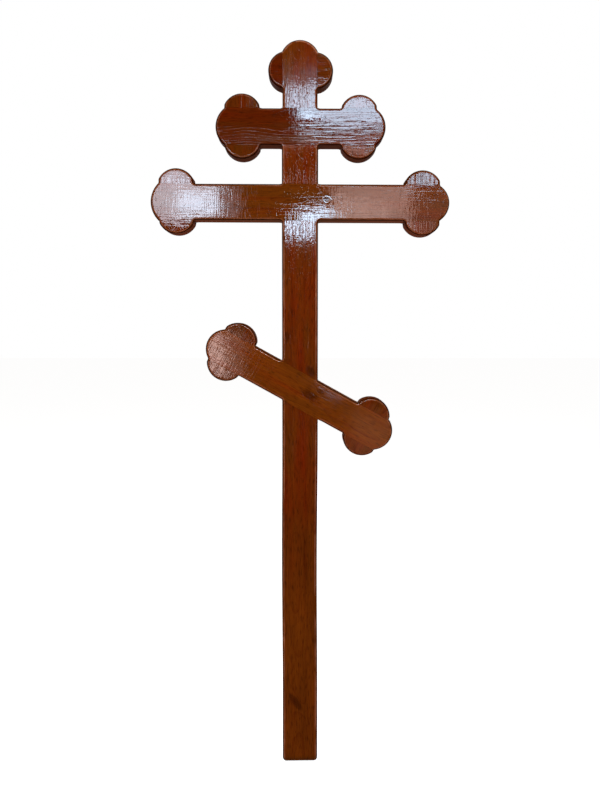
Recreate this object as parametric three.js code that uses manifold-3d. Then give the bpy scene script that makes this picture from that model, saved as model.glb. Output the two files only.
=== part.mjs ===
// Wooden grave cross with three bars: pine boards halved into a post, each end made a trefoil with glued lobes.
// Millimetres, +Z up. The origin is the middle of the post's foot, and the front looks along -Y.
import * as THREE from "three";
import { mergeVertices } from "three/addons/utils/BufferGeometryUtils.js";
import Module from "manifold-3d";

const DEGREE = Math.PI / 180;

// The boards, planed pine
const HEIGHT = 2000;
const THICKNESS = 45;
const BOARD = 98; // width of the post and of the two level bars
const HEAD_BOARD = 94; // width of the post above the upper bar
const SLANTED_BOARD = 93;
const SLANT = 29 * DEGREE; // the foot bar falls towards the right

// The routed edge, run round the glued-up cross on its front and its back
const ROUND = 7;
const BEARING = 7; // radius the cutter leaves in an inner corner
const SOFTENED = 10; // radius sanding leaves on an outer corner
const ROUND_SEGMENTS = 3;
const FACET_DEPTH = 0.25; // how far a facet of an arc may cut inside it
const SHORTEST_EDGE = 1;

// The lobes, cut from offcuts of the same board
const LOBE_WIDTH = 94;
const LOBE_RADIUS = 52.5;

// The joints
const GLUE_LINE = 0.3;
const SHAVING = 0.05; // a board's raw side stands this far outside the routed wall

// The hand-cut ends. Each reaches so far from the post's middle, or the head from the foot, and ends in an arc.
// Each of its two lobes is centred so far along the board, and rises so far from the board's edge.
const HEAD = {
  reach: HEIGHT,
  endRadius: 53,
  above: { name: "left", at: 1922, rise: 38, radius: 49 },
  below: { name: "right", at: 1920, rise: 41.5, radius: 49 },
};
const BARS = [
  {
    name: "upper_bar",
    height: 1773,
    width: BOARD,
    postAbove: HEAD_BOARD,
    tilt: 0,
    left: endOf(227, 62, [156, 38.5], [155, 36.5]),
    right: endOf(230, 58, [159, 36.5], [158, 37]),
  },
  {
    name: "main_bar",
    height: 1573,
    width: BOARD,
    postAbove: BOARD,
    tilt: 0,
    left: endOf(404, 70, [335, 41], [334, 37]),
    right: endOf(404, 55, [331, 38.5], [331, 39]),
  },
  {
    name: "foot_bar",
    height: 1063,
    width: SLANTED_BOARD,
    postAbove: BOARD,
    tilt: SLANT,
    left: endOf(288, 54, [214, 39.5], [216, 36.5]),
    right: endOf(284, 54, [206, 37], [212, 36]),
  },
];

function endOf(reach, endRadius, [topAt, topRise], [bottomAt, bottomRise]) {
  return {
    reach,
    endRadius,
    above: { name: "top", at: topAt, rise: topRise, radius: LOBE_RADIUS },
    below: { name: "bottom", at: bottomAt, rise: bottomRise, radius: LOBE_RADIUS },
  };
}

// A point of the outline. Where it is a corner to be rounded, it knows the radius.
class Corner extends THREE.Vector2 {
  constructor(x, y, radius = 0) {
    super(x, y);
    this.radius = radius;
  }
}

function arc(x, y, radius, from, to, clockwise = false) {
  const curve = new THREE.EllipseCurve(x, y, radius, radius, from, to, clockwise);
  const sweep = curve.getLength() / radius;
  const widest = 2 * Math.acos(1 - FACET_DEPTH / radius);
  const steps = Math.max(1, Math.round(sweep / widest));
  return curve.getPoints(steps).map((point) => new Corner(point.x, point.y));
}

// The upper half of a trefoil, from the board's tip back to the foot of the lobe, with the board along +X.
function halfTrefoil({ reach, endRadius }, lobe, edge) {
  const centre = reach - endRadius;
  const outer = lobe.at + LOBE_WIDTH / 2;
  const inner = lobe.at - LOBE_WIDTH / 2;
  const lobeCentre = edge + lobe.rise - lobe.radius;
  const spread = Math.asin(LOBE_WIDTH / 2 / lobe.radius);

  // The end's arc stops at the lobe's side, or at the board's edge if it comes to that first.
  const atEdge = Math.asin(edge / endRadius);
  const atLobe = Math.acos((outer - centre) / endRadius);
  const end = arc(centre, 0, endRadius, 0, Math.min(atEdge, atLobe));
  if (end.at(-1).x > outer + SHORTEST_EDGE) end.push(new Corner(outer, edge));
  end.at(-1).radius = BEARING;

  const crown = arc(lobe.at, lobeCentre, lobe.radius, Math.PI / 2 - spread, Math.PI / 2 + spread);
  crown[0].radius = SOFTENED;
  crown.at(-1).radius = SOFTENED;
  return [...end, ...crown, new Corner(inner, edge, BEARING)];
}

// A whole trefoil, going round it from the lower lobe's foot to the upper lobe's foot.
function trefoil(end, edge) {
  const lower = halfTrefoil(end, end.below, edge)
    .slice(1)
    .reverse()
    .map((point) => new Corner(point.x, -point.y, point.radius));
  return [...lower, ...halfTrefoil(end, end.above, edge)];
}

function placed(points, place) {
  return points.map((point) => new Corner(...place(point.x, point.y), point.radius));
}

// One end of a bar with the two inner corners it makes with the post, on the given side: 1 right, -1 left.
function barOutline(bar, side) {
  const end = side > 0 ? bar.right : bar.left;
  const cos = Math.cos(bar.tilt);
  const sin = Math.sin(bar.tilt);
  const corner = (edge, post) => {
    const x = (side * post) / 2;
    return new Corner(x, bar.height - x * Math.tan(bar.tilt) + (edge * bar.width) / 2 / cos, BEARING);
  };
  const round = placed(trefoil(end, bar.width / 2), (along, up) => [
    side * along * cos + up * sin,
    bar.height - side * along * sin + up * cos,
  ]);
  const outline = [corner(-1, BOARD), ...round, corner(1, bar.postAbove)];
  return side > 0 ? outline : outline.reverse();
}

// The cross's outline seen from the front, going round it from the foot's left corner by way of the right side.
function crossOutline() {
  const rising = [...BARS].reverse();
  return [
    new Corner(-BOARD / 2, 0, SOFTENED),
    new Corner(BOARD / 2, 0, SOFTENED),
    ...rising.flatMap((bar) => barOutline(bar, 1)),
    ...placed(trefoil(HEAD, HEAD_BOARD / 2), (along, up) => [-up, along]),
    ...BARS.flatMap((bar) => barOutline(bar, -1)),
  ];
}

// The line that runs beside a run of points, at a distance to its left.
function beside(points, distance) {
  const normals = points.slice(1).map((point, i) => {
    const along = point.clone().sub(points[i]).normalize();
    return new THREE.Vector2(-along.y, along.x);
  });
  return points.map((point, i) => {
    const before = normals[Math.max(i - 1, 0)];
    const after = normals[Math.min(i, normals.length - 1)];
    const mitre = before.clone().add(after).divideScalar(1 + before.dot(after));
    return new THREE.Vector2(point.x, point.y).addScaledVector(mitre, distance);
  });
}

// Where two runs of points first cross, and which stretch of each run that is on.
function crossing(first, second) {
  for (let reach = 0; reach < first.length + second.length - 3; reach++) {
    for (let i = Math.max(0, reach - second.length + 2); i <= Math.min(reach, first.length - 2); i++) {
      const j = reach - i;
      const a = first[i + 1].clone().sub(first[i]);
      const b = second[j + 1].clone().sub(second[j]);
      const gap = second[j].clone().sub(first[i]);
      const alongFirst = gap.cross(b) / a.cross(b);
      const alongSecond = gap.cross(a) / a.cross(b);
      if (alongFirst >= 0 && alongFirst <= 1 && alongSecond >= 0 && alongSecond <= 1) {
        return { i, j, point: first[i].clone().addScaledVector(a, alongFirst) };
      }
    }
  }
  throw new Error("a corner has no room for its radius");
}

// The place on the stretch between two points that is nearest to a third point.
function nearest(point, start, end) {
  const stretch = end.clone().sub(start);
  const along = point.clone().sub(start).dot(stretch) / stretch.lengthSq();
  return start.clone().addScaledVector(stretch, THREE.MathUtils.clamp(along, 0, 1));
}

// Replaces one corner by an arc that touches the outline on both sides of it. turn is 1 outside, -1 inside.
function roundCorner(outline, corner, turn) {
  const runLength = 10;
  const at = outline.indexOf(corner);
  const run = (step) =>
    Array.from({ length: runLength }, (_, i) => outline.at((at + step * i) % outline.length));
  const back = run(-1);
  const ahead = run(1);
  const met = crossing(beside(back, -turn * corner.radius), beside(ahead, turn * corner.radius));
  const from = nearest(met.point, back[met.i], back[met.i + 1]);
  const to = nearest(met.point, ahead[met.j], ahead[met.j + 1]);
  const angle = (point) => Math.atan2(point.y - met.point.y, point.x - met.point.x);
  const bend = arc(met.point.x, met.point.y, corner.radius, angle(from), angle(to), turn < 0);
  const rest = Array.from({ length: outline.length - met.i - met.j - 1 }, (_, i) =>
    outline.at((at + met.j + 1 + i) % outline.length),
  );
  return [...bend, ...rest];
}

function roundCorners(outline) {
  const count = outline.length;
  const turnAt = (i) => {
    const into = outline[i].clone().sub(outline.at(i - 1));
    const out = outline[(i + 1) % count].clone().sub(outline[i]);
    return Math.sign(into.cross(out));
  };
  const corners = outline
    .map((corner, i) => ({ corner, turn: turnAt(i) }))
    .filter(({ corner }) => corner.radius > 0);
  let result = outline;
  for (const wanted of [1, -1]) {
    for (const { corner, turn } of corners.filter((entry) => entry.turn === wanted)) {
      result = roundCorner(result, corner, turn);
    }
  }
  return result;
}

// The glued-up cross after routing: a slab with both of its rims rounded over, as a closed geometry.
function routedSlab() {
  const slab = new THREE.ExtrudeGeometry(new THREE.Shape(roundCorners(crossOutline())), {
    depth: THICKNESS - 2 * ROUND,
    bevelThickness: ROUND,
    bevelSize: ROUND,
    bevelOffset: -ROUND,
    bevelSegments: ROUND_SEGMENTS,
  });
  slab.translate(0, 0, ROUND - THICKNESS / 2);
  return slab.rotateX(Math.PI / 2);
}

const wasm = await Module();
wasm.setup();

function solidOf(geometry) {
  geometry.deleteAttribute("normal");
  geometry.deleteAttribute("uv");
  const merged = mergeVertices(geometry, 1e-4);
  return new wasm.Manifold(
    new wasm.Mesh({
      numProp: 3,
      vertProperties: merged.attributes.position.array,
      triVerts: new Uint32Array(merged.index.array),
    }),
  );
}

function geometryOf(solid) {
  const { numProp, vertProperties, triVerts } = solid.getMesh();
  if (numProp !== 3) throw new Error("a cut solid should hold positions only");
  const geometry = new THREE.BufferGeometry();
  geometry.setAttribute("position", new THREE.BufferAttribute(vertProperties, 3));
  geometry.setIndex(new THREE.BufferAttribute(triVerts, 1));
  return geometry;
}

// A rectangular block between two corners in an object's own frame, as a solid in the cross's frame.
function block(home, [x0, y0, z0], [x1, y1, z1]) {
  home.updateWorldMatrix(true, false);
  const box = new THREE.BoxGeometry(x1 - x0, y1 - y0, z1 - z0);
  box.translate((x0 + x1) / 2, (y0 + y1) / 2, (z0 + z1) / 2);
  return solidOf(box.applyMatrix4(home.matrixWorld));
}

// Pine under mahogany stain and gloss varnish
function stainedPine() {
  return new THREE.MeshStandardMaterial({ color: 0x6a2a0c, roughness: 0.18, metalness: 0 });
}

const routed = solidOf(routedSlab());

// Cuts one piece out of the routed cross and puts it in its mesh's own frame. Its stock is one or more blocks.
function addPiece(name, home, position, stock, cuts = []) {
  const mesh = new THREE.Mesh(new THREE.BufferGeometry(), stainedPine());
  mesh.name = name;
  mesh.position.set(...position);
  home.add(mesh);
  const blank = stock.map(([low, high]) => block(mesh, low, high)).reduce((a, b) => a.add(b));
  const shaped = cuts.reduce((body, cut) => body.subtract(cut), routed.intersect(blank));
  mesh.geometry = geometryOf(shaped).applyMatrix4(mesh.matrixWorld.clone().invert());
  mesh.geometry.computeVertexNormals();
}

// Blocks run this far past the faces and the ends, so that only their sides cut.
const PAST_FRONT = -THICKNESS;
const PAST_BACK = THICKNESS;
const PAST_END = 1;

// A lobe glued on a board's edge. side is 1 or -1 along the board, face is 1 above it and -1 below it.
function addLobe(name, home, lobe, side, face, boardHalf) {
  const halfWidth = LOBE_WIDTH / 2 + SHAVING;
  const [low, high] = [face * (SHAVING + GLUE_LINE), face * (lobe.rise + PAST_END)].sort((a, b) => a - b);
  addPiece(name, home, [side * lobe.at, 0, face * boardHalf], [
    [
      [-halfWidth, PAST_FRONT, low],
      [halfWidth, PAST_BACK, high],
    ],
  ]);
}

function addLobes(prefix, home, end, side, boardHalf) {
  addLobe(`${prefix}_${end.above.name}`, home, end.above, side, 1, boardHalf);
  addLobe(`${prefix}_${end.below.name}`, home, end.below, side, -1, boardHalf);
}

const cross = new THREE.Group();

const barGroups = BARS.map((bar) => {
  const group = new THREE.Group();
  group.position.z = bar.height;
  group.rotation.y = bar.tilt;
  cross.add(group);
  return group;
});

// The post, narrower above the upper bar, and halved at its front where each bar crosses it.
const postSide = BOARD / 2 + SHAVING;
const headSide = HEAD_BOARD / 2 + SHAVING;
const headStart = BARS[0].height + BARS[0].width / 2 + SHAVING;
const postLaps = BARS.map((bar, i) => {
  const side = bar.width / 2 + SHAVING + GLUE_LINE;
  return block(barGroups[i], [-BOARD, PAST_FRONT, -side], [BOARD, GLUE_LINE / 2, side]);
});
const postStock = [
  [
    [-postSide, PAST_FRONT, -PAST_END],
    [postSide, PAST_BACK, headStart],
  ],
  [
    [-headSide, PAST_FRONT, headStart - PAST_END],
    [headSide, PAST_BACK, HEIGHT + PAST_END],
  ],
];
addPiece("post", cross, [0, 0, 0], postStock, postLaps);

const headGroup = new THREE.Group();
headGroup.rotation.y = -Math.PI / 2;
cross.add(headGroup);
addLobes("head_lobe", headGroup, HEAD, 1, HEAD_BOARD / 2);

// The bars, halved at their backs where they cross the post.
const barLap = block(
  cross,
  [-postSide - GLUE_LINE, -GLUE_LINE / 2, 0],
  [postSide + GLUE_LINE, PAST_BACK, HEIGHT],
);
BARS.forEach((bar, i) => {
  const side = bar.width / 2 + SHAVING;
  const barStock = [
    [
      [-bar.left.reach - PAST_END, PAST_FRONT, -side],
      [bar.right.reach + PAST_END, PAST_BACK, side],
    ],
  ];
  addPiece(bar.name, barGroups[i], [0, 0, 0], barStock, [barLap]);
  addLobes(`${bar.name}_lobe_left`, barGroups[i], bar.left, -1, bar.width / 2);
  addLobes(`${bar.name}_lobe_right`, barGroups[i], bar.right, 1, bar.width / 2);
});

export default cross;
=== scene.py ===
import math

import bmesh
import bpy
from mathutils import Matrix, Vector, noise


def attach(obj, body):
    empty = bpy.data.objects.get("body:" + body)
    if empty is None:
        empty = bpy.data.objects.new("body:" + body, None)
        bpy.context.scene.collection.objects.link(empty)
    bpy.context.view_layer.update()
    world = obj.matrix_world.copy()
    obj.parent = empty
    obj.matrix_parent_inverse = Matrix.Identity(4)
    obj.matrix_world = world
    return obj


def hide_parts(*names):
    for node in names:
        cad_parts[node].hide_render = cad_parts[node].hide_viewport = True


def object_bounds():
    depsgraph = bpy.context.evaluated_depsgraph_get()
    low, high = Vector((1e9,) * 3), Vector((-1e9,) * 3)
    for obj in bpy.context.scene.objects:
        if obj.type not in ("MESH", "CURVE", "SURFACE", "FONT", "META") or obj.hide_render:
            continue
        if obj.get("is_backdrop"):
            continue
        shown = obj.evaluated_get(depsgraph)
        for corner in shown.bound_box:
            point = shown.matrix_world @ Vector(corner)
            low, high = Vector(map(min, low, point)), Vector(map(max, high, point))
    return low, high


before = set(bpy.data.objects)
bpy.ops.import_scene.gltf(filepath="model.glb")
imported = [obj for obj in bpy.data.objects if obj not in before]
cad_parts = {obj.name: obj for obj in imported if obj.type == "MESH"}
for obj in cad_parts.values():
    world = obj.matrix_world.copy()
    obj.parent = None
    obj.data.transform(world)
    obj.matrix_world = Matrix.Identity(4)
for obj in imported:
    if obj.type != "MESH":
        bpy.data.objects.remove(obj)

solids_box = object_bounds()

# Everything is in metres. The front looks along -Y, and the foot of the post stands at the origin.
MM = 0.001

# The boards, planed pine
HEIGHT = 2000 * MM
THICKNESS = 45 * MM
BOARD = 98 * MM
HEAD_BOARD = 94 * MM
SLANTED_BOARD = 93 * MM
SLANT = math.radians(29)
FACE = THICKNESS / 2

# The routed edge
ROUND = 7 * MM
BEARING = 7 * MM
SOFTENED = 10 * MM
ROUND_STEPS = 7
ARC_STEP = 1.5 * MM
RIM_HOLD = 0.5 * MM

# How many points to either side of a corner its arc may take up
CORNER_REACH = 24

# The lobes, cut from offcuts of the same boards
LOBE_WIDTH = 94 * MM
LOBE_RADIUS = 52.5 * MM

# The joints
GLUE_LINE = 0.3 * MM
SHAVING = 0.05 * MM
LAP = GLUE_LINE / 2
SHORTEST_EDGE = 1 * MM

# How near a point lies to a plane that it is on
SNAP = 0.001 * MM
SAW_SNAP = 0.0001 * MM
ON_THE_CUT = 0.002 * MM

# What a plane and a sanding block leave of a flat face
SANDING_CELL = 12 * MM
SKIN = 12 * MM
WAVE_ALONG = 110 * MM
WAVE_ACROSS = 60 * MM

# How the seasoned post bows aside, from above its foot to the foot bar
SEASONED_BOW = 1.7 * MM
BOW_START = 200 * MM
BOW_LENGTH = 750 * MM

# How far apart in the noise the pieces lie, so that no two are alike
WAVES_APART = 7.3
PATTERNS_APART = 3.7


# The outline

class Corner:
    """A point of the outline, and the radius that it is to be rounded to."""

    def __init__(self, x, y, radius=0.0):
        self.at = Vector((x, y))
        self.radius = radius


class Lobe:
    """A lobe centred so far along its board, which rises so far from the board's edge."""

    def __init__(self, name, at, rise, radius=LOBE_RADIUS):
        self.name = name
        self.at = at * MM
        self.rise = rise * MM
        self.radius = radius


class End:
    """The hand-cut end of a board: how far it reaches, the radius of its arc, and its two lobes."""

    def __init__(self, reach, radius, above, below):
        self.reach = reach * MM
        self.radius = radius * MM
        self.above = above
        self.below = below


class Bar:
    """A board that crosses the post, at a height and a tilt."""

    def __init__(self, name, height, width, post_above, tilt, left, right):
        self.name = name
        self.height = height * MM
        self.width = width
        self.post_above = post_above
        self.tilt = tilt
        self.left = left
        self.right = right
        self.home = Matrix.Translation((0, 0, self.height)) @ Matrix.Rotation(tilt, 4, "Y")


def trefoil_end(reach, radius, top, bottom):
    """The end of a bar. Each lobe is given by how far along the bar it is centred, and how far it rises."""
    return End(reach, radius, Lobe("top", *top), Lobe("bottom", *bottom))


HEAD = End(2000, 53, Lobe("left", 1922, 38, 49 * MM), Lobe("right", 1920, 41.5, 49 * MM))
UPPER_BAR = Bar(
    "upper_bar", 1773, BOARD, HEAD_BOARD, 0,
    trefoil_end(227, 62, (156, 38.5), (155, 36.5)),
    trefoil_end(230, 58, (159, 36.5), (158, 37)),
)
MAIN_BAR = Bar(
    "main_bar", 1573, BOARD, BOARD, 0,
    trefoil_end(404, 70, (335, 41), (334, 37)),
    trefoil_end(404, 55, (331, 38.5), (331, 39)),
)
FOOT_BAR = Bar(
    "foot_bar", 1063, SLANTED_BOARD, BOARD, SLANT,
    trefoil_end(288, 54, (214, 39.5), (216, 36.5)),
    trefoil_end(284, 54, (206, 37), (212, 36)),
)
BARS = [UPPER_BAR, MAIN_BAR, FOOT_BAR]


def arc(centre, radius, start, stop):
    """Corners along an arc, ARC_STEP apart, from one angle to another."""
    steps = max(2, round(abs(stop - start) * radius / ARC_STEP))
    turns = [start + (stop - start) * i / steps for i in range(steps + 1)]
    return [Corner(centre.x + radius * math.cos(a), centre.y + radius * math.sin(a)) for a in turns]


def half_trefoil(end, lobe, edge):
    """The upper half of a trefoil on a board along +X, from the board's tip back to the lobe's foot."""
    centre = end.reach - end.radius
    outer = lobe.at + LOBE_WIDTH / 2
    inner = lobe.at - LOBE_WIDTH / 2
    at_edge = math.asin(edge / end.radius)
    at_lobe = math.acos((outer - centre) / end.radius)
    tip = arc(Vector((centre, 0)), end.radius, 0, min(at_edge, at_lobe))
    if tip[-1].at.x > outer + SHORTEST_EDGE:
        tip.append(Corner(outer, edge))
    tip[-1].radius = BEARING

    spread = math.asin(LOBE_WIDTH / 2 / lobe.radius)
    crown_centre = Vector((lobe.at, edge + lobe.rise - lobe.radius))
    crown = arc(crown_centre, lobe.radius, math.pi / 2 - spread, math.pi / 2 + spread)
    crown[0].radius = crown[-1].radius = SOFTENED
    return [*tip, *crown, Corner(inner, edge, BEARING)]


def trefoil(end, edge):
    """A whole trefoil, round from the lower lobe's foot to the upper lobe's foot."""
    lower = half_trefoil(end, end.below, edge)[:0:-1]
    mirrored = [Corner(c.at.x, -c.at.y, c.radius) for c in lower]
    return mirrored + half_trefoil(end, end.above, edge)


def bar_outline(bar, side):
    """One end of a bar and the two inner corners it makes with the post. The side is 1 right, -1 left."""

    def crook(edge, post):
        x = side * post / 2
        rise = edge * bar.width / 2 / math.cos(bar.tilt)
        return Corner(x, bar.height - x * math.tan(bar.tilt) + rise, BEARING)

    def placed(corner):
        seen = bar.home @ Vector((side * corner.at.x, 0, corner.at.y))
        return Corner(seen.x, seen.z, corner.radius)

    end = bar.right if side > 0 else bar.left
    round_end = [placed(corner) for corner in trefoil(end, bar.width / 2)]
    outline = [crook(-1, BOARD), *round_end, crook(1, bar.post_above)]
    return outline[::side]


def cross_outline():
    """The whole outline from the front, from the foot's left corner round by the right side."""
    foot = [Corner(-BOARD / 2, 0, SOFTENED), Corner(BOARD / 2, 0, SOFTENED)]
    right = [corner for bar in BARS[::-1] for corner in bar_outline(bar, 1)]
    head = [Corner(-c.at.y, c.at.x, c.radius) for c in trefoil(HEAD, HEAD_BOARD / 2)]
    left = [corner for bar in BARS for corner in bar_outline(bar, -1)]
    return [*foot, *right, *head, *left]


def beside(points, distance):
    """The line beside a run of points, at a distance to its left."""
    normals = [(b - a).normalized().orthogonal() for a, b in zip(points, points[1:])]
    befores = [normals[0], *normals]
    afters = [*normals, normals[-1]]
    return [
        point + (before + after) * (distance / (1 + before.dot(after)))
        for point, before, after in zip(points, befores, afters)
    ]


def crossing(first, second):
    """Where two runs of points first cross, and which stretch of each run that is on."""
    for reach in range(len(first) + len(second) - 3):
        for i in range(max(0, reach - len(second) + 2), min(reach, len(first) - 2) + 1):
            j = reach - i
            a = first[i + 1] - first[i]
            b = second[j + 1] - second[j]
            gap = second[j] - first[i]
            between = a.cross(b)
            if between == 0:
                continue
            along_first = gap.cross(b) / between
            along_second = gap.cross(a) / between
            if 0 <= along_first <= 1 and 0 <= along_second <= 1:
                return i, j, first[i] + a * along_first
    raise ValueError("a corner has no room for its radius")


def nearest(point, start, end):
    """The place on the stretch between two points that is nearest to a third point."""
    stretch = end - start
    along = (point - start).dot(stretch) / stretch.length_squared
    return start + stretch * min(max(along, 0), 1)


def round_corner(outline, corner, turn):
    """The outline with one corner made an arc. The turn is 1 on an outer corner and -1 on an inner one."""
    count = len(outline)
    at = outline.index(corner)
    back = [outline[(at - i) % count].at for i in range(CORNER_REACH)]
    ahead = [outline[(at + i) % count].at for i in range(CORNER_REACH)]
    i, j, centre = crossing(beside(back, -turn * corner.radius), beside(ahead, turn * corner.radius))
    start = nearest(centre, back[i], back[i + 1]) - centre
    stop = nearest(centre, ahead[j], ahead[j + 1]) - centre
    first = math.atan2(start.y, start.x)
    sweep = turn * start.angle(stop)
    rest = [outline[(at + j + 1 + k) % count] for k in range(count - i - j - 1)]
    return arc(centre, corner.radius, first, first + sweep) + rest


def round_corners(outline):
    """The outline with its outer corners softened, then its inner ones left at the cutter's radius."""
    turns = {}
    for before, corner, after in zip([outline[-1], *outline], outline, [*outline[1:], outline[0]]):
        if corner.radius > 0:
            bend = (corner.at - before.at).cross(after.at - corner.at)
            turns[corner] = int(math.copysign(1, bend))
    for wanted in (1, -1):
        for corner in [c for c, turn in turns.items() if turn == wanted]:
            outline = round_corner(outline, corner, wanted)
    return outline


def spaced(outline):
    """The outline without points that crowd the one before, where the rim's round would fold over itself."""
    kept = outline[:1]
    for corner in outline[1:]:
        if (corner.at - kept[-1].at).length > SHORTEST_EDGE:
            kept.append(corner)
    while (kept[0].at - kept[-1].at).length < SHORTEST_EDGE:
        kept.pop()
    return kept


# The joinery

def is_along_y(edge):
    """Whether an edge of the square slab runs through its thickness."""
    a, b = (vert.co for vert in edge.verts)
    return abs(a.y - b.y) > SHAVING


def routed_slab():
    """The glued-up cross as the router leaves it, in one body: a slab with both of its rims rounded over."""
    body = bmesh.new()
    outline = spaced(round_corners(cross_outline()))
    ring = [body.verts.new((corner.at.x, -FACE, corner.at.y)) for corner in outline]
    front = body.faces.new(ring)
    grown = bmesh.ops.extrude_face_region(body, geom=[front])["geom"]
    far_verts = [part for part in grown if isinstance(part, bmesh.types.BMVert)]
    bmesh.ops.translate(body, verts=far_verts, vec=(0, THICKNESS, 0))
    bmesh.ops.recalc_face_normals(body, faces=body.faces)

    rims = [edge for edge in body.edges if not is_along_y(edge)]
    bmesh.ops.bevel(
        body, geom=rims, offset=ROUND, offset_type="OFFSET", segments=ROUND_STEPS,
        profile=0.5, affect="EDGES", material=-1, clamp_overlap=False,
    )
    # A narrow strip inside each rim keeps the flat faces flat where they meet the round.
    faces = [face for face in body.faces if len(face.verts) > 4]
    bmesh.ops.inset_region(body, faces=faces, thickness=RIM_HOLD, use_boundary=True, use_even_offset=True)
    # A saw cut splits triangles cleanly, but not one wide face with a winding edge.
    bmesh.ops.triangulate(body, faces=[face for face in body.faces if len(face.verts) > 4])
    for side in (-1, 1):
        level = Vector((0, side * (FACE - ROUND - RIM_HOLD), 0))
        whole = [*body.verts, *body.edges, *body.faces]
        bmesh.ops.bisect_plane(body, geom=whole, dist=SNAP, plane_co=level, plane_no=(0, 1, 0))
    for face in body.faces:
        face.smooth = True
    mark_rim(body)
    return body


class Side:
    """A flat saw cut: a point on it and its normal, which points into the wood that is taken away."""

    def __init__(self, home, at, normal):
        self.at = home @ Vector(at)
        self.normal = home.to_3x3() @ Vector(normal)

    def beyond(self, point):
        return (point - self.at).dot(self.normal)

    def holds(self, vert):
        return abs(self.beyond(vert.co)) < ON_THE_CUT


def cut_away(body, *sides):
    """Takes away the wood that lies beyond every one of the sides, and closes the cut with flat walls."""
    for side in sides:
        whole = [*body.verts, *body.edges, *body.faces]
        bmesh.ops.bisect_plane(body, geom=whole, dist=SAW_SNAP, plane_co=side.at, plane_no=side.normal)
    gone = [
        face for face in body.faces
        if all(side.beyond(face.calc_center_median()) > 0 for side in sides)
    ]
    bmesh.ops.delete(body, geom=gone, context="FACES")
    open_edges = [edge for edge in body.edges if edge.is_boundary]
    open_verts = [vert for vert in body.verts if vert.is_boundary]
    ridges = []
    for i, one in enumerate(sides):
        for other in sides[i + 1:]:
            ends = [vert for vert in open_verts if one.holds(vert) and other.holds(vert)]
            if len(ends) == 2:
                ridges.append(body.edges.new(ends))
    for side in sides:
        loop = [edge for edge in open_edges + ridges if all(side.holds(vert) for vert in edge.verts)]
        walls = bmesh.ops.edgenet_fill(body, edges=loop)["faces"]
        for wall in walls:
            wall.smooth = False
            for edge in wall.edges:
                edge.smooth = False
    bmesh.ops.recalc_face_normals(body, faces=body.faces)


class Knot:
    """A knot, or a scar like one, in millimetres along and across the grain from the piece's home.

    It is stretched so many times its size along the grain, then turned so many degrees.
    """

    def __init__(self, along, across, size, stretch, turn, dark):
        self.along = along * MM
        self.across = across * MM
        self.size = size * MM
        self.stretch = stretch
        self.turn = math.radians(turn)
        self.dark = dark


class Piece:
    """One board or lobe: its home in the cross, the saw cuts round it, and how its grain turns from home's X.

    The rest are its looks. The lean is what its faces are out of true, in degrees, back at the top and back
    at the right, and they wander so many millimetres. The pith lies so many millimetres behind the middle of
    the board and beside it, with rings so many apart. The stain has a lightness and a share of red, which may
    start so many millimetres up the grain. The arris is how much lighter the arris line is, partly as wear
    and partly as a painted highlight, and the soak is how much darker the round is, partly as stain soaking
    in and partly as painted shade. The varnish shows the grain's ridges, more towards the coarse side, 1
    above or -1 below. It shows the chatter of the plane, orange peel, sags and nibs of dust too, each at a
    strength.
    """

    def __init__(
        self, name, home, cuts, grain, skew=0.0, lean=(0, 0), wander=0.25,
        pith=(70, 10), rings=4.0, red=0.5, red_from=0, light=1.0, arris=0.6, soak_and_shade=0.7,
        ridges=0.8, coarse_side=0, chatter=0.6, peel=0.4, sag=0.5, nibs=0.2, knots=(),
    ):
        self.name = name
        self.home = home
        self.cuts = cuts
        self.grain = grain
        self.skew = skew
        self.lean = [math.tan(math.radians(angle)) for angle in lean]
        self.wander = wander * MM
        self.pith = pith
        self.rings = rings
        self.red = red
        self.red_from = red_from
        self.light = light
        self.arris = arris
        self.soak_and_shade = soak_and_shade
        self.ridges = ridges
        self.coarse_side = coarse_side
        self.chatter = chatter
        self.peel = peel
        self.sag = sag
        self.nibs = nibs
        self.knots = knots


def block(home, left, right, low, high):
    """The saw cuts round a block, each of them a list of one side."""
    return [
        [Side(home, (left, 0, 0), (-1, 0, 0))],
        [Side(home, (right, 0, 0), (1, 0, 0))],
        [Side(home, (0, 0, low), (0, 0, -1))],
        [Side(home, (0, 0, high), (0, 0, 1))],
    ]


# The turn of an upright board, and the homes of the post and its head
UPRIGHT = math.radians(-90)
HOME = Matrix.Identity(4)
HEAD_HOME = Matrix.Rotation(UPRIGHT, 4, "Y")

# How far clear of the wood a block's saw cuts lie at its free ends
PAST_END = 1 * MM


def post_piece(**looks):
    """The post, narrower at its head, with its front half cut away where each bar crosses."""
    side = BOARD / 2 + SHAVING
    head_side = HEAD_BOARD / 2 + SHAVING
    head_start = UPPER_BAR.height + UPPER_BAR.width / 2 + SHAVING
    cuts = block(HOME, -side, side, -PAST_END, HEIGHT + PAST_END)
    for turn in (-1, 1):
        cuts.append([
            Side(HOME, (turn * head_side, 0, 0), (turn, 0, 0)),
            Side(HOME, (0, 0, head_start), (0, 0, 1)),
        ])
    for bar in BARS:
        reach = bar.width / 2 + SHAVING + GLUE_LINE
        cuts.append([
            Side(HOME, (0, LAP, 0), (0, -1, 0)),
            Side(bar.home, (0, 0, reach), (0, 0, -1)),
            Side(bar.home, (0, 0, -reach), (0, 0, 1)),
        ])
    return Piece("post", HOME, cuts, UPRIGHT, **looks)


def bar_piece(bar, **looks):
    """A bar, with its back half cut away where it crosses the post."""
    side = bar.width / 2 + SHAVING
    reach = BOARD / 2 + SHAVING + GLUE_LINE
    cuts = block(bar.home, -bar.left.reach - PAST_END, bar.right.reach + PAST_END, -side, side)
    cuts.append([
        Side(HOME, (0, -LAP, 0), (0, 1, 0)),
        Side(HOME, (reach, 0, 0), (-1, 0, 0)),
        Side(HOME, (-reach, 0, 0), (1, 0, 0)),
    ])
    return Piece(bar.name, bar.home, cuts, 0, **looks)


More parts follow.
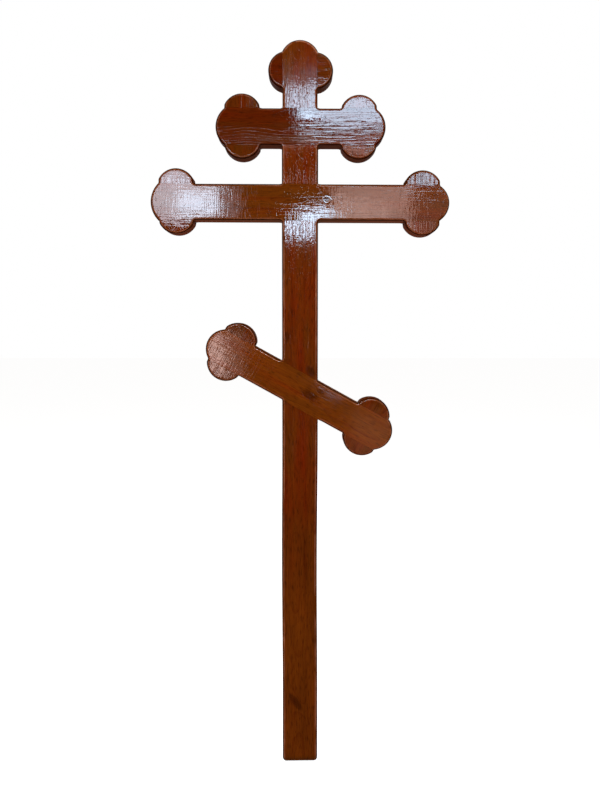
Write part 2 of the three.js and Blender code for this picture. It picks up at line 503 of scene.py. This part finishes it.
def lobe_piece(prefix, board_home, lobe, side, face, half_board, **looks):
    """A lobe glued on a board. The side is 1 or -1 along the board, the face 1 above it and -1 below."""
    home = board_home @ Matrix.Translation((side * lobe.at, 0, face * half_board))
    half = LOBE_WIDTH / 2 + SHAVING
    low, high = sorted((face * (SHAVING + GLUE_LINE), face * (lobe.rise + PAST_END)))
    return Piece(f"{prefix}_{lobe.name}", home, block(home, -half, half, low, high), UPRIGHT, **looks)


# How far out of level the upper bar and the main bar hang
BAR_SKEW = math.radians(0.27)

POST_LOOKS = {
    "pith": (62, 8), "rings": 6.0, "red": 0.55, "red_from": 600, "light": 1.05, "arris": 1.0, "soak_and_shade": 0.5,
    "ridges": 1.5, "chatter": 0.2, "peel": 1.0, "sag": 0.4, "nibs": 1.5, "wander": 0.15, "lean": (0, 1.1),
    "knots": [
        Knot(1210, 35, 7, 2.0, 0, 0.5),
        Knot(1116, -28, 10, 1.6, 40, 0.6),
        Knot(176, 12, 9, 3.0, 35, 0.6),
    ],
}
BAR_LOOKS = {
    "upper_bar": {
        "pith": (75, 30), "rings": 5.0, "red": 0.7, "light": 0.75, "ridges": 1.1, "coarse_side": -1,
        "chatter": 0.35, "peel": 0.2, "sag": 0.3, "wander": 0.08,
    },
    "main_bar": {
        "pith": (58, 12), "rings": 6.0, "red": 0.35, "ridges": 0.3,
        "chatter": 0.75, "peel": 0.15, "sag": 0.4, "wander": 0.08,
        "knots": [Knot(72, 6, 9, 1.2, 0, 0.6)],
    },
    "foot_bar": {
        "pith": (66, -14), "rings": 5.0, "red": 0.3, "light": 1.25, "ridges": 0.4,
        "chatter": 0.9, "peel": 0.3, "sag": 0.3,
        "knots": [Knot(29, 2, 10, 2.4, 0, 0.75), Knot(50, 24, 6, 1.6, 0, 0.5)],
    },
}
LOBE_LOOKS = {
    "head_lobe_left": {"pith": (55, -12), "light": 0.72, "red": 0.7, "lean": (-0.5, -1.2)},
    "head_lobe_right": {"pith": (80, 20), "light": 0.9, "lean": (1.4, 0.8), "ridges": 1.0},
    "upper_bar_lobe_left_top": {"light": 0.8, "ridges": 0.5},
    "upper_bar_lobe_left_bottom": {"light": 0.8, "lean": (0.4, 0.5), "ridges": 0.5},
    "upper_bar_lobe_right_top": {"lean": (0.2, -0.2), "ridges": 0.4, "peel": 0.2},
    "upper_bar_lobe_right_bottom": {"light": 0.9, "lean": (1.0, 0.0)},
    "main_bar_lobe_left_top": {"lean": (-0.6, 0.6)},
    "main_bar_lobe_left_bottom": {"lean": (0.1, 0)},
    "main_bar_lobe_right_top": {"lean": (0.6, -0.3), "ridges": 1.2, "sag": 1.2},
    "main_bar_lobe_right_bottom": {"lean": (0.3, -0.3)},
    "foot_bar_lobe_left_top": {"lean": (-0.6, 0)},
    "foot_bar_lobe_left_bottom": {"light": 1.1, "lean": (0.5, 0), "ridges": 0.9},
}


def all_pieces():
    """The post, its lobes, then each bar with its lobes."""
    yield post_piece(**POST_LOOKS)
    for lobe, face in ((HEAD.above, 1), (HEAD.below, -1)):
        looks = LOBE_LOOKS.get(f"head_lobe_{lobe.name}", {})
        yield lobe_piece("head_lobe", HEAD_HOME, lobe, 1, face, HEAD_BOARD / 2, **looks)
    for bar in BARS:
        skew = 0 if bar is FOOT_BAR else BAR_SKEW
        yield bar_piece(bar, skew=skew, **BAR_LOOKS[bar.name])
        for name, end, side in (("left", bar.left, -1), ("right", bar.right, 1)):
            for lobe, face in ((end.above, 1), (end.below, -1)):
                prefix = f"{bar.name}_lobe_{name}"
                looks = LOBE_LOOKS.get(f"{prefix}_{lobe.name}", {})
                yield lobe_piece(prefix, bar.home, lobe, side, face, bar.width / 2, skew=skew, **looks)


def mark_rim(body):
    """Notes for the stain how far each point lies past the arris, over the round: 0 on it and on the flat."""
    rim = body.verts.layers.float.new("rim")
    for vert in body.verts:
        fallen = min(max((FACE - abs(vert.co.y)) / ROUND, 0), 1)
        vert[rim] = math.acos(1 - fallen) * ROUND


def comb(body, home):
    """Divides the body's faces into cells, so that its flats can be let go a little out of true."""
    towards_home = home.inverted()
    reach = [towards_home @ vert.co for vert in body.verts]
    for axis in (0, 2):
        low = min(point[axis] for point in reach)
        high = max(point[axis] for point in reach)
        for i in range(1, math.ceil((high - low) / SANDING_CELL)):
            at = Vector()
            at[axis] = low + i * SANDING_CELL
            normal = Vector()
            normal[axis] = 1
            whole = [*body.verts, *body.edges, *body.faces]
            bmesh.ops.bisect_plane(
                body, geom=whole, dist=SNAP, plane_co=home @ at, plane_no=home.to_3x3() @ normal,
            )


def let_go(body, piece, seed):
    """Leans the piece's skins a hair and lets them wander, as planing and sanding leave them."""
    middle = piece.home.translation
    towards_home = piece.home.inverted()
    for vert in body.verts:
        x, _, z = towards_home @ vert.co
        along, across = (x, z) if piece.grain == 0 else (z, x)
        ripple = noise.noise(Vector((along / WAVE_ALONG, across / WAVE_ACROSS, seed * WAVES_APART)))
        off = vert.co - middle
        shift = piece.lean[0] * off.z + piece.lean[1] * off.x + piece.wander * ripple
        vert.co.y += shift * max(0, abs(vert.co.y) - FACE + SKIN) / SKIN


def season(body, piece):
    """Turns a bar's pieces by its skew, and bows the foot of the post, as the real boards have moved."""
    if piece.skew:
        centre = Vector((0, 0, piece.home.translation.z))
        bmesh.ops.rotate(body, verts=body.verts, cent=centre, matrix=Matrix.Rotation(piece.skew, 3, "Y"))
    if piece.name == "post":
        for vert in body.verts:
            reach = min(max((vert.co.z - BOW_START) / BOW_LENGTH, 0), 1)
            vert.co.x -= SEASONED_BOW * math.sin(math.pi * reach) ** 2


def make_piece(piece, slab, seed):
    """The piece as sawn out of a copy of the slab, so that the round runs on over the glue lines."""
    body = slab.copy()
    for cut in piece.cuts:
        cut_away(body, *cut)
    comb(body, piece.home)
    let_go(body, piece, seed)
    season(body, piece)
    mesh = bpy.data.meshes.new(piece.name)
    body.to_mesh(mesh)
    body.free()
    shape = bpy.data.objects.new(piece.name + "_wood", mesh)
    bpy.context.scene.collection.objects.link(shape)
    return shape


# The stain and the varnish

# How far from its middle value a noise may be where a groove runs
GROOVE_WIDTH = 0.08


class Wire:
    """An output of a recipe's node. Arithmetic on wires adds the Math nodes that do it."""

    def __init__(self, recipe, socket):
        self.recipe = recipe
        self.socket = socket

    def math(self, operation, *values):
        settings = {"operation": operation}
        return self.recipe.node("ShaderNodeMath", settings, dict(enumerate([self, *values])))

    def flipped(self, operation, value):
        return self.recipe.node("ShaderNodeMath", {"operation": operation}, {0: value, 1: self})

    def __add__(self, value):
        return self.math("ADD", value)

    def __sub__(self, value):
        return self.math("SUBTRACT", value)

    def __mul__(self, value):
        return self.math("MULTIPLY", value)

    def __truediv__(self, value):
        return self.math("DIVIDE", value)

    def __pow__(self, value):
        return self.math("POWER", value)

    def __rsub__(self, value):
        return self.flipped("SUBTRACT", value)

    __radd__ = __add__


class Recipe:
    """A material being mixed: its nodes, and short ways to the ones that wood and varnish need."""

    def __init__(self, name):
        self.material = bpy.data.materials.new(name)
        self.material.use_nodes = True
        self.tree = self.material.node_tree
        self.tree.nodes.clear()

    def node(self, kind, settings, inputs, output=0):
        """Adds a node with its settings, then its sockets' values or wires, and gives one of its outputs."""
        node = self.tree.nodes.new(kind)
        for name, value in settings.items():
            setattr(node, name, value)
        for name, value in inputs.items():
            if isinstance(value, Wire):
                self.tree.links.new(value.socket, node.inputs[name])
            else:
                node.inputs[name].default_value = value
        return Wire(self, node.outputs[output])

    def finish(self, surface):
        """Makes the given shader the surface, and hands over the material."""
        out = self.tree.nodes.new("ShaderNodeOutputMaterial")
        self.tree.links.new(surface.socket, out.inputs["Surface"])
        return self.material

    def noise(self, place, long, wide, seed, detail=2.0):
        """Noise from 0 to 1, in cells so many millimetres long along the grain and so many wide across it.

        Each seed gives another pattern.
        """
        scale = (1 / (long * MM), 1 / (wide * MM), 1 / (wide * MM))
        inputs = {"Vector": place, "Location": (seed * PATTERNS_APART, 0, 0), "Scale": scale}
        stretched = self.node("ShaderNodeMapping", {"vector_type": "POINT"}, inputs)
        inputs = {"Vector": stretched, "Scale": 1.0, "Detail": detail}
        return self.node("ShaderNodeTexNoise", {"noise_dimensions": "3D"}, inputs)

    def step(self, value, low, high):
        """0 below low, 1 above high, and a smooth way between."""
        inputs = {"Value": value, 1: low, 2: high, 3: 0.0, 4: 1.0}
        return self.node("ShaderNodeMapRange", {"interpolation_type": "SMOOTHSTEP"}, inputs)

    def groove(self, noise_wire):
        """1 along the lines where a noise passes through its middle, and 0 away from them."""
        return 1 - self.step((noise_wire - 0.5).math("ABSOLUTE"), 0, GROOVE_WIDTH)

    def blend(self, share, first, second):
        """A colour between two colours."""
        settings = {"data_type": "RGBA", "blend_type": "MIX"}
        return self.node("ShaderNodeMix", settings, {0: share, 6: first, 7: second}, 2)

    def darken(self, colour, amount):
        """The colour times a number that varies over the surface."""
        settings = {"operation": "SCALE"}
        return self.node("ShaderNodeVectorMath", settings, {0: colour, "Scale": amount})


def shade(red, green, blue):
    """A colour given as the eye sees it, from 0 to 255, in the linear values that the shader takes."""

    def linear(value):
        value /= 255
        return value / 12.92 if value <= 0.04045 else ((value + 0.055) / 1.055) ** 2.4

    return (linear(red), linear(green), linear(blue), 1.0)


BROWN_STAIN = shade(132, 66, 12)
RED_STAIN = shade(126, 38, 3)
LATE_WOOD = shade(98, 34, 3)
KNOT_WOOD = shade(58, 18, 3)
# The arris line's colour: lighter for sanded-through wear, and as a painted highlight
ARRIS_WEAR_AND_HIGHLIGHT = shade(184, 116, 84)

# How far the pith drifts along a board, and how far the growth rings wave
PITH_DRIFT = 50 * MM
RING_WAVE = 7 * MM

# How far a knot pushes the rings aside, as a share of its size, and how many rings it has within that size
KNOT_SWELL = 0.8
RINGS_IN_KNOT = 2.6

# How far the varnish stands up or sinks in, in millimetres, at a strength of 1
LATE_WOOD_RISE = 0.03
RIDGE_RISE = 0.09
GROOVE_DEPTH = 0.045
KNOT_DEPTH = 0.08
SAG_RISE = 0.3
CHATTER_RISE = 0.06
CHATTER_LINE_DEPTH = 0.03
PEEL_RISE = 0.08
NIB_RISE = 0.08

# How dull the varnish is at its best, how much that varies, and how much duller the edges are
VARNISH_DULL = 0.015
DULL_PATCHES = 0.02
EDGE_DULLER = 0.4


class Grain:
    """A point's place in its board, and how far it lies along the grain, through the board and across."""

    def __init__(self, recipe, piece):
        place = piece.home @ Matrix.Rotation(piece.grain, 4, "Y")
        where = recipe.node("ShaderNodeTexCoord", {}, {}, "Object")
        turned = {"Vector": where, "Location": place.translation, "Rotation": place.to_euler()}
        self.local = recipe.node("ShaderNodeMapping", {"vector_type": "TEXTURE"}, turned)
        self.along, self.through, self.across = (
            recipe.node("ShaderNodeSeparateXYZ", {}, {0: self.local}, axis) for axis in range(3)
        )


def growth(recipe, piece, grain, seed):
    """The late wood of the growth rings, the knots, and where the varnish sinks in round a knot."""
    # The rings lie round a pith that wanders a little along the board.
    depth, offset = piece.pith
    drift_back = (recipe.noise(grain.local, 420, 4000, seed + 0.3) - 0.5) * PITH_DRIFT
    drift_aside = (recipe.noise(grain.local, 560, 4000, seed + 7.1) - 0.5) * PITH_DRIFT
    out = grain.through + drift_back + depth * MM
    aside = grain.across + drift_aside - offset * MM
    wave = recipe.noise(grain.local, 160, 26, seed) * RING_WAVE
    radius = (out * out + aside * aside).math("SQRT") + wave

    # A knot pushes them aside and has rings of its own, and the varnish sinks in round its edge.
    knot_wood = 0.0
    knot_sink = 0.0
    for knot in piece.knots:
        u = grain.along - knot.along
        v = grain.across - knot.across
        cosine = math.cos(knot.turn)
        sine = math.sin(knot.turn)
        long_way = (u * cosine + v * sine) / (knot.size * knot.stretch)
        short_way = (v * cosine - u * sine) / knot.size
        square = long_way * long_way + short_way * short_way
        away = square.math("SQRT")
        radius = radius + (square * -0.35).math("EXPONENT") * (knot.size * KNOT_SWELL)
        ring = (away * RINGS_IN_KNOT).math("FRACT") * 0.25
        knot_wood = knot_wood + (1 - recipe.step(square, 0.2, 1.9)) * knot.dark * (1 - ring)
        knot_sink = knot_sink + (1 - recipe.step((away - 0.9).math("ABSOLUTE"), 0, 0.4))

    # A ring darkens slowly as it grows, and ends sharply.
    late = (radius / (piece.rings * MM)).math("FRACT") ** 4.0
    return late, knot_wood, knot_sink


def stain(recipe, piece, grain, rim, late, knot_wood, seed):
    """The colour of the stained wood, which the grain takes up unevenly, with a painted highlight along the
    arris and painted shade on the round.
    """
    streaks = recipe.noise(grain.local, 260, 9, seed + 1.9, 3.0)
    tone = recipe.noise(grain.local, 210, 34, seed + 4.4)
    fibre = recipe.noise(grain.local, 60, 1.6, seed + 2.2, 3.0)
    pores = recipe.step(recipe.noise(grain.local, 22, 3.2, seed + 3.1), 0.5, 0.7) * 0.4

    redness = recipe.step(tone + streaks * 0.5, 0.9 - piece.red, 1.7 - piece.red)
    if piece.red_from:
        redness = redness * recipe.step(grain.along / MM, piece.red_from - 250, piece.red_from + 150)
    colour = recipe.blend(redness, BROWN_STAIN, RED_STAIN)
    colour = recipe.blend(late * 0.35 + recipe.step(streaks, 0.55, 0.8) * 0.45, colour, LATE_WOOD)
    if piece.knots:
        colour = recipe.blend(knot_wood, colour, KNOT_WOOD)

    # The arris is lighter: partly wear, where the sanding block has gone through the stain, and partly a
    # painted highlight for the varnish's bright edge.
    worn_and_highlit = recipe.step(rim, 0.01, 0.2) * (1 - recipe.step(rim, 2.6, 4.4))
    patchy = recipe.step(recipe.noise(grain.local, 70, 12, seed + 9.0), 0.25, 0.6) * piece.arris
    colour = recipe.blend(worn_and_highlit * patchy, colour, ARRIS_WEAR_AND_HIGHLIGHT)

    # Past that, the round is darker than the face, most of all in its middle: partly stain that the round
    # drinks, partly painted shade for the dark line it shows.
    soaked_and_shaded = 1 - recipe.step(rim, 2.8, 4.4) * (1 - recipe.step(rim, 6.5, 9.0) * 0.8) * piece.soak_and_shade
    shades = (0.12 + fibre + tone * 0.85) * (1 - pores) * soaked_and_shaded * piece.light
    return recipe.darken(colour, shades)


def varnish_height(recipe, piece, grain, late, knot_sink, seed):
    """How high the varnish stands, in millimetres. It follows the grain, the plane and the brush."""
    raised = piece.ridges
    if piece.coarse_side:
        raised = (recipe.step(grain.across / MM * piece.coarse_side, -8, 10) * 0.7 + 0.3) * piece.ridges
    ridges = recipe.noise(grain.local, 110, 7, seed + 3.3)
    grooves = recipe.groove(recipe.noise(grain.local, 150, 8, seed + 3.8, 1.0))
    sags = recipe.noise(grain.local, 30, 17, seed + 6.1)
    chatter = recipe.noise(grain.local, 3.2, 45, seed + 5.5)
    chatter_lines = recipe.groove(recipe.noise(grain.local, 9, 60, seed + 5.9, 1.0))
    peel = recipe.noise(grain.local, 5, 3.6, seed + 6.6)
    nibs = recipe.step(recipe.noise(grain.local, 6, 2.4, seed + 9.6), 0.6, 0.74)

    height = late * raised * LATE_WOOD_RISE + ridges * raised * RIDGE_RISE - knot_sink * KNOT_DEPTH
    height = height - grooves * raised * GROOVE_DEPTH
    height = height + sags * (SAG_RISE * piece.sag)
    height = height + chatter * (CHATTER_RISE * piece.chatter)
    height = height - chatter_lines * (CHATTER_LINE_DEPTH * piece.chatter)
    height = height + peel * (PEEL_RISE * piece.peel)
    return height + nibs * (NIB_RISE * piece.nibs)


def stained_pine(piece, seed):
    """Flat-sawn pine under mahogany stain and gloss varnish, with its grain along the piece."""
    recipe = Recipe(piece.name + "_finish")
    grain = Grain(recipe, piece)
    rim = recipe.node("ShaderNodeAttribute", {"attribute_name": "rim"}, {}, "Fac") / MM
    late, knot_wood, knot_sink = growth(recipe, piece, grain, seed)
    colour = stain(recipe, piece, grain, rim, late, knot_wood, seed)
    height = varnish_height(recipe, piece, grain, late, knot_sink, seed)
    bump = recipe.node("ShaderNodeBump", {}, {"Strength": 1.0, "Distance": MM, "Height": height})

    # The edges were never rubbed down between coats, so they are duller than the faces and the rounds.
    patches = recipe.noise(grain.local, 50, 30, seed + 8.8) * DULL_PATCHES
    matt = patches + VARNISH_DULL + recipe.step(rim, 7.0, 10.0) * EDGE_DULLER
    inputs = {"Base Color": colour, "Roughness": matt, "IOR": 1.5, "Normal": bump}
    return recipe.finish(recipe.node("ShaderNodeBsdfPrincipled", {}, inputs))


slab = routed_slab()
for seed, piece in enumerate(all_pieces()):
    wood = make_piece(piece, slab, seed)
    wood.data.materials.append(stained_pine(piece, seed))
    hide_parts(piece.name)
    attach(wood, "root")
slab.free()


# The studio

CAMERA_DISTANCE = 1660 * MM
CAMERA_HEIGHT = 1248 * MM
CAMERA_PITCH = math.radians(3.43)
PHOTO_HEIGHT = 800
FOCAL_PIXELS = 607.6
MIDDLE_ROW = 359.4
SENSOR = 36


def add_camera():
    """A camera placed as the perspective of the photograph tells."""
    lens = bpy.data.cameras.new("camera")
    lens.sensor_width = SENSOR
    lens.lens = FOCAL_PIXELS / PHOTO_HEIGHT * lens.sensor_width
    lens.shift_y = (MIDDLE_ROW - PHOTO_HEIGHT / 2) / PHOTO_HEIGHT
    camera = bpy.data.objects.new("camera", lens)
    camera.location = (0, -FACE - CAMERA_DISTANCE, CAMERA_HEIGHT)
    camera.rotation_euler = (math.radians(90) - CAMERA_PITCH, 0, 0)
    bpy.context.scene.collection.objects.link(camera)
    bpy.context.scene.camera = camera


# The colours of the light
DAYLIGHT = (0.6, 0.79, 1.0)
OVERCAST = (0.86, 0.88, 1.0)
PALE_WALL = (1.0, 0.72, 0.66)
BROWN_FLOOR = (1.0, 0.5, 0.3)

# The backdrop that the camera sees, and the room that the varnish sees
WHITE = (1, 1, 1, 1)
DIM_ROOM = (0.02, 0.015, 0.01, 1)

FLOOR_REACH = 20
FLOOR_BRIGHTNESS = 0.965


def add_softbox(name, centre, aim, width, height, radiance, colour=(1, 1, 1), seen=False, lights=True):
    """A rectangular light of an even radiance, facing a point. It shows in the varnish only if seen."""
    light = bpy.data.lights.new(name, "AREA")
    light.shape = "RECTANGLE"
    light.size = width
    light.size_y = height
    light.energy = radiance * math.pi * width * height
    light.color = colour
    box = bpy.data.objects.new(name, light)
    box.location = centre
    box.rotation_euler = (Vector(aim) - Vector(centre)).to_track_quat("-Z", "Y").to_euler()
    box.visible_camera = False
    box.visible_glossy = seen
    box.visible_diffuse = lights
    bpy.context.scene.collection.objects.link(box)


def add_pair(name, centre, aim, width, height, radiance, seen=False):
    """Two softboxes alike, one to the left and one to the right of the cross."""
    for hand, side in (("left", -1), ("right", 1)):
        place = (side * centre[0], centre[1], centre[2])
        add_softbox(f"{name}_{hand}", place, aim, width, height, radiance, seen=seen)


def add_window(name, left, right, low, high, radiance, colour=DAYLIGHT, distance=3.0):
    """A light that only the varnish sees, whose mirror image covers a stretch of the cross's front."""
    spread = 1 + distance / CAMERA_DISTANCE
    left = left * spread
    right = right * spread
    low = CAMERA_HEIGHT + (low - CAMERA_HEIGHT) * spread
    high = CAMERA_HEIGHT + (high - CAMERA_HEIGHT) * spread
    centre = ((left + right) / 2, -FACE - distance, (low + high) / 2)
    ahead = (centre[0], 0, centre[2])
    add_softbox(name, centre, ahead, right - left, high - low, radiance, colour, seen=True, lights=False)


def add_floor():
    """A pale floor, which neither lights the cross nor shows in its varnish."""
    floor = bmesh.new()
    bmesh.ops.create_grid(floor, x_segments=1, y_segments=1, size=FLOOR_REACH)
    mesh = bpy.data.meshes.new("floor")
    floor.to_mesh(mesh)
    floor.free()
    plane = bpy.data.objects.new("floor", mesh)
    bpy.context.scene.collection.objects.link(plane)
    recipe = Recipe("floor_paper")
    inputs = {
        "Base Color": WHITE, "Roughness": 0.9,
        "Emission Color": WHITE, "Emission Strength": FLOOR_BRIGHTNESS,
    }
    mesh.materials.append(recipe.finish(recipe.node("ShaderNodeBsdfPrincipled", {}, inputs)))
    plane.visible_glossy = False
    plane.visible_diffuse = False
    plane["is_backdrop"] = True


def add_world():
    """A pale backdrop where the camera looks, and a dim room for what the varnish reflects."""
    world = bpy.data.worlds.new("studio")
    world.use_nodes = True
    tree = world.node_tree
    tree.nodes.clear()
    pale = tree.nodes.new("ShaderNodeBackground")
    pale.inputs["Color"].default_value = WHITE
    dim = tree.nodes.new("ShaderNodeBackground")
    dim.inputs["Color"].default_value = DIM_ROOM
    path = tree.nodes.new("ShaderNodeLightPath")
    mix = tree.nodes.new("ShaderNodeMixShader")
    out = tree.nodes.new("ShaderNodeOutputWorld")
    tree.links.new(path.outputs["Is Camera Ray"], mix.inputs[0])
    tree.links.new(dim.outputs[0], mix.inputs[1])
    tree.links.new(pale.outputs[0], mix.inputs[2])
    tree.links.new(mix.outputs[0], out.inputs[0])
    bpy.context.scene.world = world


add_camera()
add_world()
add_floor()

# What the varnish mirrors: left, right, low and high on the front of the cross, and how bright
add_window("window_upper", -0.008, 0.07, 1.792, 1.875, 18)
add_window("window_upper_right", 0.07, 0.225, 1.782, 1.875, 18)
add_window("window_upper_core", 0.003, 0.06, 1.792, 1.815, 9, distance=2.8)
add_window("window_left", -0.42, -0.222, 1.525, 1.66, 10, OVERCAST)
add_window("window_left_core", -0.33, -0.222, 1.54, 1.603, 12, distance=2.8)
add_window("window_middle", 0.0, 0.085, 1.478, 1.553, 30)
add_window("window_right", 0.285, 0.39, 1.625, 1.70, 14)
add_window("sheen_head", -0.012, 0.10, 1.875, 1.93, 1.6)
add_window("sheen_upper", -0.005, 0.24, 1.732, 1.762, 4, PALE_WALL)
add_window("sheen_left", -0.222, -0.165, 1.50, 1.62, 2, OVERCAST)
add_window("sheen_right", 0.085, 0.30, 1.50, 1.64, 4.6, PALE_WALL)
add_window("sheen_right_first", 0.095, 0.13, 1.50, 1.59, 2.4, PALE_WALL, distance=2.8)
add_window("sheen_right_second", 0.145, 0.19, 1.50, 1.58, 2.4, PALE_WALL, distance=2.8)
add_window("sheen_right_third", 0.205, 0.24, 1.50, 1.57, 2.4, PALE_WALL, distance=2.8)
add_window("sheen_far_right", 0.30, 0.43, 1.50, 1.60, 0.6, PALE_WALL)
add_window("sheen_under_right", 0.075, 0.43, 1.44, 1.50, 1.6, PALE_WALL)
add_window("sheen_low_left", -0.27, -0.213, 1.12, 1.215, 10, PALE_WALL)
add_window("sheen_low_brushed", -0.213, -0.15, 1.08, 1.215, 1.4, PALE_WALL)
add_window("sheen_low_right", 0.14, 0.29, 0.87, 1.0, 1, BROWN_FLOOR)
add_window("glint_low", 0.055, 0.085, 1.06, 1.08, 4)
add_window("glint_low_end", 0.085, 0.12, 1.043, 1.063, 3)

# What lights it: where each stands, the point it faces, its width and height, and how bright
add_pair("fill", (1.6, -1.8, 2.6), (0, 0, 1.4), 1.6, 1.6, 2.4)
add_softbox("fill_high", (0, -2.8, 3.6), (0, 0, 1.6), 2.5, 1.2, 3.0)
add_softbox("fill_floor", (0, -0.5, 0.01), (0, -0.5, 1), 4, 3, 0.35, BROWN_FLOOR)
add_softbox("room_behind", (0, 2.6, 0.9), (0, 0, 1.4), 2.1, 1.6, 0.14, BROWN_FLOOR, seen=True, lights=False)
add_pair("fill_back", (1.6, 2.1, 2.4), (0, 0, 1.1), 1.6, 1.6, 2.2)
add_softbox("floor_glow", (0, 0.85, 0.012), (0, 0.85, 1), 2.0, 1.5, 0.9, BROWN_FLOOR, seen=True)
add_pair("card_back", (1.7, 2.6, 1.6), (0, 0, 1.1), 1.2, 2.4, 0.3, seen=True)
bpy.context.scene.view_settings.view_transform = "Standard"

[[list(corner) for corner in box] for box in (solids_box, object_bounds())]
